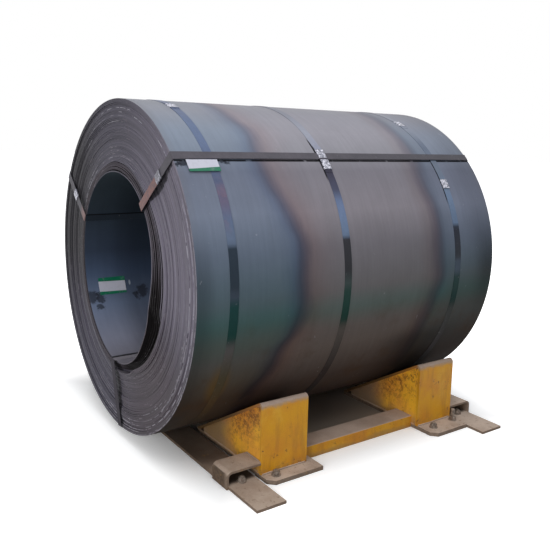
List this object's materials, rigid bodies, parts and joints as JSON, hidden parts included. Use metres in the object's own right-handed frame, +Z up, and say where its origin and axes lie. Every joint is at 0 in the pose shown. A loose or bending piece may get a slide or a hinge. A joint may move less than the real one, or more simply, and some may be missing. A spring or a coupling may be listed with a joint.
{
  "type": "steel coil",
  "caption": "Hot-rolled steel coil banded with steel straps, lying with its bore level in a welded steel coil cradle.",
  "frame": {"origin": "on the floor under the coil's centre, at the middle of the footprint", "axes": "+X along the coil's axis, away from the end with the sprung turns and the bore label; +Y towards the side away from the outer label; +Z up"},
  "size_m": [1.3893, 1.494, 1.2865],
  "materials": {
    "mill_scale": "hot-rolled mill scale, blue-grey with brown bands",
    "blued_strap": "blued steel strapping",
    "galvanised_seal": "bright galvanised, crimped",
    "label": "matt white with a green border, bare",
    "yellow_paint": "worn yellow paint with rust and dust",
    "dusty_plate": "raw plate under dust",
    "bolt_steel": "dusty zinc-plated"
  },
  "bodies": {
    "root": {"bar_bolt_left_front": "bolt_steel", "bar_bolt_left_rear": "bolt_steel", "bar_bolt_right_front": "bolt_steel", "bar_bolt_right_rear": "bolt_steel", "bar_clip_left_front": "dusty_plate", "bar_clip_left_rear": "dusty_plate", "bar_clip_right_front": "dusty_plate", "bar_clip_right_rear": "dusty_plate", "beam_front": "yellow_paint", "beam_rear": "yellow_paint", "belly_seal_1": "galvanised_seal", "belly_seal_2_lower": "galvanised_seal", "belly_seal_2_upper": "galvanised_seal", "belly_seal_3_lower": "galvanised_seal", "belly_seal_3_upper": "galvanised_seal", "belly_strap_1": "blued_strap", "belly_strap_2": "blued_strap", "belly_strap_3": "blued_strap", "bore_label": "label", "coil": "mill_scale", "eye_seal_back": "galvanised_seal", "eye_seal_upper": "galvanised_seal", "eye_strap_back": "blued_strap", "eye_strap_bottom": "blued_strap", "eye_strap_upper": "blued_strap", "flat_bar_left": "dusty_plate", "flat_bar_right": "dusty_plate", "foot_bolt_left_front_1": "bolt_steel", "foot_bolt_left_rear_1": "bolt_steel", "foot_bolt_right_front_1": "bolt_steel", "foot_bolt_right_front_2": "bolt_steel", "foot_bolt_right_rear_1": "bolt_steel", "foot_bolt_right_rear_2": "bolt_steel", "foot_plate_left_front": "dusty_plate", "foot_plate_left_rear": "dusty_plate", "foot_plate_right_front": "dusty_plate", "foot_plate_right_rear": "dusty_plate", "outer_label": "label", "wedge_plate_left_front": "yellow_paint", "wedge_plate_left_rear": "yellow_paint", "wedge_plate_right_front": "yellow_paint", "wedge_plate_right_rear": "yellow_paint", "wedge_side_left_front_a": "yellow_paint", "wedge_side_left_front_b": "yellow_paint", "wedge_side_left_rear_a": "yellow_paint", "wedge_side_left_rear_b": "yellow_paint", "wedge_side_right_front_a": "yellow_paint", "wedge_side_right_front_b": "yellow_paint", "wedge_side_right_rear_a": "yellow_paint", "wedge_side_right_rear_b": "yellow_paint"}
  },
  "joints": []
}
